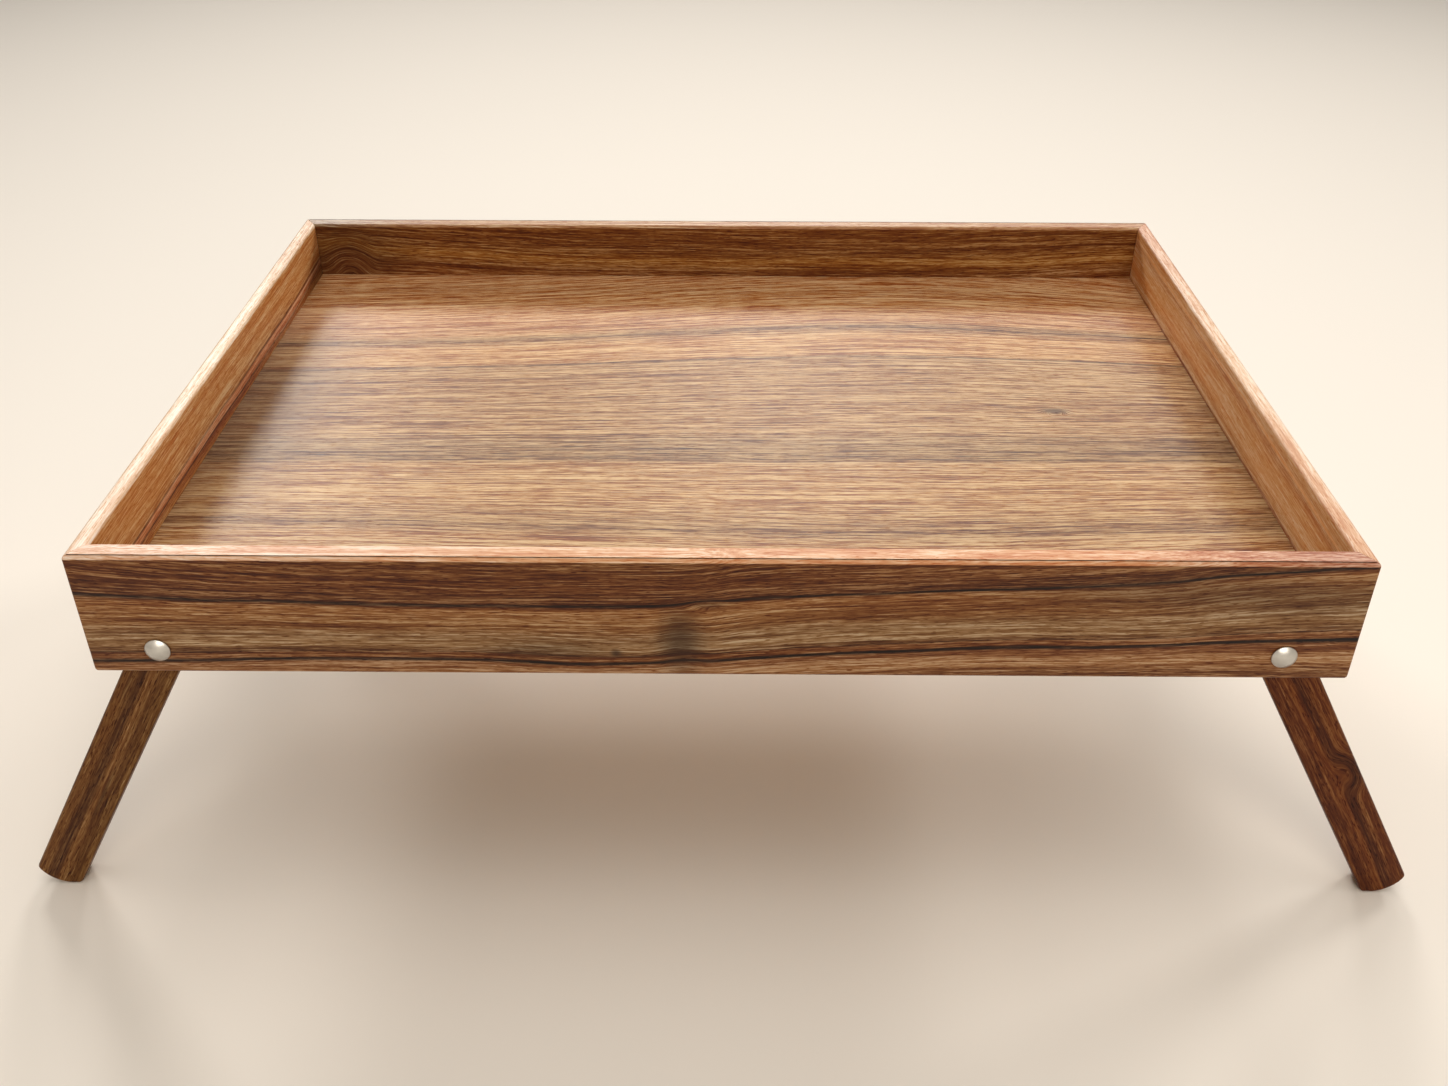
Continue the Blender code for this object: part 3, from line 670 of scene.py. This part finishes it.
def shaped_bolt(name, shank_length):
    """Modelled with the underside of its head at the origin and its head towards +Z."""
    bpy.ops.object.select_all(action="DESELECT")
    dome_centre = (0, 0, RIM_HEIGHT + DOME_HEIGHT - dome_radius)
    bpy.ops.mesh.primitive_uv_sphere_add(segments=64, ring_count=96, radius=dome_radius, location=dome_centre)
    bolt = bpy.context.object
    bolt.name = name
    bpy.ops.object.transform_apply(location=True, rotation=True, scale=True)
    saw(bolt, RIM_HEIGHT * UP, -UP)
    pick(bolt, "FACE", lambda corners: all(corner.z < RIM_HEIGHT + TINY for corner in corners))
    bpy.ops.mesh.delete(type="ONLY_FACE")
    leave_edit()
    pick(bolt, "EDGE", lambda ends: all(end.z < RIM_HEIGHT + TINY for end in ends))
    extrude_ring(-RIM_HEIGHT)
    extrude_ring(0, SHANK_RADIUS / HEAD_RADIUS)
    extrude_ring(-shank_length + END_CHAMFER + THREAD_TURNS * THREAD_PITCH)
    root = 1 - THREAD_DEPTH / SHANK_RADIUS
    for turn in range(THREAD_TURNS):
        extrude_ring(-THREAD_PITCH / 2, root)
        extrude_ring(-THREAD_PITCH / 2, 1 / root)
    extrude_ring(-END_CHAMFER, 1 - END_CHAMFER / SHANK_RADIUS)
    bpy.ops.mesh.edge_face_add()
    bpy.ops.mesh.select_all(action="SELECT")
    bpy.ops.mesh.normals_make_consistent(inside=False)
    leave_edit()
    pick(bolt, "EDGE", lambda ends: all(on_head_edge(end) for end in ends))
    bpy.ops.mesh.bevel(offset=RIM_EASING, segments=3, affect="EDGES")
    leave_edit()
    neck = Vector((NECK_HALF, NECK_HALF, 0))
    cut(bolt, block("neck", -neck - NECK_LENGTH * UP, neck + RIM_HEIGHT / 2 * UP), "UNION")
    return bolt


def on_head_edge(point):
    at_height = abs(point.z) < TINY or abs(point.z - RIM_HEIGHT) < TINY
    return at_height and abs(math.hypot(point.x, point.y) - HEAD_RADIUS) < TINY


def face_out(part, side_x, end_y, place_y):
    """Turns a part that was modelled along Z so that +Z points out of the tray, and puts it on its bolt."""
    bpy.ops.object.select_all(action="DESELECT")
    part.select_set(True)
    bpy.context.view_layer.objects.active = part
    part.rotation_euler = (-end_y * QUARTER_TURN, 0, 0)
    part.location = (side_x * pivot.x, place_y, pivot.z)
    bpy.ops.object.transform_apply(location=True, rotation=True, scale=True)


def metal(name, code, roughness, grain, bump):
    """Bare or plated steel, tumbled: its sheen is slightly uneven, with fine dents that only the gloss shows.
    The grain is the number of dents to a metre, and the clouds in the sheen are four times as wide."""
    material = bpy.data.materials.new(name)
    material.use_nodes = True
    tree = material.node_tree
    shader = tree.nodes["Principled BSDF"]
    thing = add(tree, "TexCoord", {}).outputs["Object"]
    cloud = add(tree, "TexNoise", {"Vector": thing, "Scale": grain / 4, "Detail": 2.0})
    shade = add(tree, "MapRange", {
        "Value": cloud, "From Min": 0.3, "From Max": 0.7, "To Min": DULLEST, "To Max": 1.0,
    })
    colour = add(tree, "MixRGB", {
        "Fac": 1.0, "Color1": sight_colour(code), "Color2": shade,
    }, blend_type="MULTIPLY")
    tree.links.new(colour.outputs[0], shader.inputs["Base Color"])
    shader.inputs["Metallic"].default_value = 1.0
    gloss = add(tree, "MapRange", {
        "Value": cloud, "From Min": 0.3, "From Max": 0.7,
        "To Min": roughness - UNEVENNESS, "To Max": roughness + UNEVENNESS,
    })
    tree.links.new(gloss.outputs[0], shader.inputs["Roughness"])
    dents = add(tree, "TexNoise", {"Vector": thing, "Scale": grain, "Detail": 3.0})
    relief = add(tree, "Bump", {"Height": dents, "Strength": bump, "Distance": DENT_DEPTH})
    tree.links.new(relief.outputs[0], shader.inputs["Normal"])
    return material


# The bolts are a warm silver grey and soft in their gloss, the zinc is bluer and a little glossier.
bolt_steel = metal("satin_steel", "#c4c1bb", 0.34, 900, 0.3)
zinc_steel = metal("zinc_plated_steel", "#bfc3c8", 0.28, 1500, 0.15)
corners = [
    (end_name + "_" + side_name, side_x, end_y)
    for end_name, end_y in ENDS.items() for side_name, side_x in SIDES.items()
]
for corner, side_x, end_y in corners:
    node = corner + "_pivot_bolt"
    low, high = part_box(node)
    length = high.y - low.y - RIM_HEIGHT - DOME_HEIGHT
    outer_face = (high.y if end_y > 0 else low.y) - end_y * (RIM_HEIGHT + DOME_HEIGHT)
    bolt = shaped_bolt(node + "_turned", length)
    face_out(bolt, side_x, end_y, outer_face)
    finish_part(bolt, bolt_steel, "tray", "bolt_steel", node)

# Spacers and washers
# Plain zinc plated steel rings, punched from 1 mm sheet. One spaces each leg from the wall, and one lies
# between the leg and the nut, so that the leg turns between metal faces.
RING_EASING = 0.15 * MM
STEEP = math.radians(60)


def punched_ring(name, node):
    """A ring in the place of this node, with its edges eased."""
    low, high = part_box(node)
    middle = (low + high) / 2
    half = Vector((0, (high.y - low.y) / 2, 0))
    ring = rod(name, (high.x - low.x) / 2, middle - half, middle + half, sides=96)
    cut(ring, rod("bore", SHANK_RADIUS + BORE_PLAY, middle - 2 * half, middle + 2 * half))
    pick_sharp(ring, STEEP)
    bpy.ops.mesh.bevel(offset=RING_EASING, segments=2, affect="EDGES")
    leave_edit()
    return ring


for corner, side_x, end_y in corners:
    for kind in ("spacer", "washer"):
        node = corner + "_" + kind
        ring = punched_ring(node + "_ring", node)
        finish_part(ring, zinc_steel, "tray", "zinc_plated_steel", node)

# Lock nuts
# Hexagon nuts with a round collar, rolled over a ring of bluish white nylon that grips the thread. They hold
# the legs stiff without clamping them.
NUT_HEIGHT = 4 * MM
NUT_HALF_WIDTH = 4 * MM
NUT_CHAMFER = 0.45 * MM
COLLAR_RADIUS = 3.6 * MM
COLLAR_HEIGHT = 1 * MM
OFF_THE_CORNERS = math.radians(1.3)
NYLON_RADIUS = 3.1 * MM
NYLON_HEIGHT = 0.8 * MM
NYLON_RECESS = 0.2 * MM


def shaped_nut(name):
    """Modelled with its bearing face at the origin and its collar towards -Z, which points into the tray. The
    chamfered disc is turned a little, so that none of its corners falls on one of the hexagon's."""
    corner_radius = NUT_HALF_WIDTH / math.cos(math.radians(30))
    nut = rod(name, corner_radius, -NUT_HEIGHT * UP, Vector(), sides=6)
    turned = rod("chamfer", corner_radius + TINY, -NUT_HEIGHT * UP, Vector(), sides=96)
    pick_sharp(turned, STEEP)
    bpy.ops.mesh.bevel(offset=NUT_CHAMFER, segments=1, affect="EDGES")
    bpy.ops.mesh.select_all(action="SELECT")
    bpy.ops.transform.rotate(value=OFF_THE_CORNERS, orient_axis="Z", center_override=(0, 0, 0))
    leave_edit()
    cut(nut, turned, "INTERSECT")
    collar = rod("collar", COLLAR_RADIUS, -(NUT_HEIGHT + COLLAR_HEIGHT) * UP, -NUT_HEIGHT / 2 * UP, sides=96)
    pick_sharp(collar, STEEP)
    bpy.ops.mesh.bevel(offset=NUT_CHAMFER / 2, segments=3, affect="EDGES")
    leave_edit()
    cut(nut, collar, "UNION")
    cut(nut, rod("bore", SHANK_RADIUS + BORE_PLAY, OVERRUN * UP, -(NUT_HEIGHT + 2 * COLLAR_HEIGHT) * UP))
    seat = -(NUT_HEIGHT + COLLAR_HEIGHT - NYLON_HEIGHT - NYLON_RECESS) * UP
    cut(nut, rod("nylon_seat", NYLON_RADIUS, seat, -(NUT_HEIGHT + 2 * COLLAR_HEIGHT) * UP))
    return nut


# Moulded nylon: bluish white, a little cloudy, with a soft gloss
nylon = bpy.data.materials.new("bluish_nylon")
nylon.use_nodes = True
nylon_shader = nylon.node_tree.nodes["Principled BSDF"]
nylon_cloud = add(nylon.node_tree, "TexNoise", {
    "Vector": add(nylon.node_tree, "TexCoord", {}).outputs["Object"], "Scale": 700.0, "Detail": 2.0,
})
nylon_colour = add(nylon.node_tree, "ValToRGB", {0: nylon_cloud}, stops=(
    (0.35, "#b9c6d6"), (0.65, "#d3dbe4"),
))
nylon.node_tree.links.new(nylon_colour.outputs[0], nylon_shader.inputs["Base Color"])
nylon_shader.inputs["Roughness"].default_value = 0.45
nylon_shader.inputs["IOR"].default_value = 1.53
for corner, side_x, end_y in corners:
    node = corner + "_lock_nut"
    low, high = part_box(node)
    bearing_face = high.y if end_y > 0 else low.y
    nut = shaped_nut(node + "_hexagon")
    face_out(nut, side_x, end_y, bearing_face)
    finish_part(nut, zinc_steel, "tray", "zinc_plated_steel", node)
    nylon_top = -(NUT_HEIGHT + COLLAR_HEIGHT - NYLON_RECESS) * UP
    ring = rod(corner + "_nylon_ring", NYLON_RADIUS, nylon_top, nylon_top + NYLON_HEIGHT * UP, sides=96)
    cut(ring, rod("bore", SHANK_RADIUS, nylon_top - UP * OVERRUN, nylon_top + UP * OVERRUN))
    pick_sharp(ring, STEEP)
    bpy.ops.mesh.bevel(offset=RING_EASING, segments=2, affect="EDGES")
    leave_edit()
    face_out(ring, side_x, end_y, bearing_face)
    finish_part(ring, nylon, "tray", None)

# Floor under the tray and backdrop
# Matt, warm white paper, laid out flat well past the picture's edges. It keeps the tray's soft shadow. Past
# its far edge only the pale colour of the surround is seen.
GROUND_SIDE = 4.2
bpy.ops.object.select_all(action="DESELECT")
bpy.ops.mesh.primitive_plane_add(size=1, location=(0, 0, -TINY))
ground = bpy.context.object
ground.name = "paper_ground"
ground.scale = (GROUND_SIDE, GROUND_SIDE, 1)
bpy.ops.object.transform_apply(location=True, rotation=True, scale=True)
paper = bpy.data.materials.new("warm_white_paper")
paper.use_nodes = True
paper.node_tree.nodes["Principled BSDF"].inputs["Base Color"].default_value = sight_colour("#efe6da")
paper.node_tree.nodes["Principled BSDF"].inputs["Roughness"].default_value = 0.9
ground.data.materials.append(paper)

# Light
# Four soft boxes stand well behind the tray and shine low over it: they put the milky sheen on the lacquered
# floor and light the ground. A large box overhead and one in front give the even light. The surround sheds
# almost no light on matt surfaces, and is a pale colour where it is seen directly or mirrored.
BEAM = math.radians(60)


def soft_box(name, place, width, height, power, spread, tint="#fffdfa"):
    lamp = bpy.data.lights.new(name, "AREA")
    lamp.shape = "RECTANGLE"
    lamp.size = width
    lamp.size_y = height
    lamp.energy = power
    lamp.spread = spread
    lamp.color = sight_colour(tint)[:3]
    box = bpy.data.objects.new(name, lamp)
    bpy.context.scene.collection.objects.link(box)
    box.location = place
    box.rotation_euler = (floor_high.z * UP - box.location).to_track_quat("-Z", "Y").to_euler()


soft_box("back_left_box", (-2.0, 4.2, 2.6), 1.4, 0.8, 11.5, BEAM)
soft_box("back_middle_box", (0.2, 4.6, 2.8), 1.4, 0.8, 9, BEAM)
soft_box("back_right_box", (1.9, 4.3, 2.7), 1.4, 0.8, 4.5, BEAM)
soft_box("right_box", (3.6, 2.9, 2.8), 1.4, 0.8, 8, BEAM)
soft_box("front_box", (0.2, -2.2, 1.4), 1.6, 1.0, 29, math.pi, "#fff7ea")
soft_box("top_box", (0.1, -0.2, 2.4), 2.4, 2.0, 32, math.pi)
world = bpy.data.worlds.new("pale_surround")
bpy.context.scene.world = world
world.use_nodes = True
ray = add(world.node_tree, "LightPath", {})
seen = ray.outputs["Is Camera Ray"]
for kind in ("Is Glossy Ray", "Is Transmission Ray"):
    seen = add(world.node_tree, "Math", {0: seen, 1: ray.outputs[kind]}, operation="MAXIMUM")
surround = add(world.node_tree, "MixRGB", {
    "Fac": seen, "Color1": (0.02, 0.02, 0.019, 1), "Color2": sight_colour("#e2d7c9"),
})
world.node_tree.links.new(surround.outputs[0], world.node_tree.nodes["Background"].inputs["Color"])

# Camera
# Placed where the photograph was taken from: 0.5 m before the tray and 0.3 m above its rim, looking down at
# 33 degrees, turned and tilted by a fraction of a degree.
IMAGE_WIDTH = 1448
FOCAL_PIXELS = 1397.6
SENSOR_WIDTH = 36.0
CAMERA_PITCH = 0.5783
CAMERA_YAW = -0.006
CAMERA_ROLL = 0.0025
CAMERA_ACROSS = 0.0046
CAMERA_BEFORE = 0.4822
CAMERA_ABOVE_RIM = 0.3235
camera = bpy.data.objects.new("photo_camera", bpy.data.cameras.new("photo_camera"))
bpy.context.scene.collection.objects.link(camera)
camera.data.sensor_width = SENSOR_WIDTH
camera.data.lens = FOCAL_PIXELS / IMAGE_WIDTH * SENSOR_WIDTH
forward = Vector((
    math.sin(CAMERA_YAW) * math.cos(CAMERA_PITCH),
    math.cos(CAMERA_YAW) * math.cos(CAMERA_PITCH),
    -math.sin(CAMERA_PITCH),
))
level = Vector((math.cos(CAMERA_YAW), -math.sin(CAMERA_YAW), 0))
lift = level.cross(forward)
right = math.cos(CAMERA_ROLL) * level + math.sin(CAMERA_ROLL) * lift
up = -math.sin(CAMERA_ROLL) * level + math.cos(CAMERA_ROLL) * lift
stand = Matrix((right, up, -forward)).transposed().to_4x4()
stand.translation = (CAMERA_ACROSS, -half_width - CAMERA_BEFORE, rim + CAMERA_ABOVE_RIM)
camera.matrix_world = stand
bpy.context.scene.camera = camera
bpy.context.scene.view_settings.view_transform = "Standard"
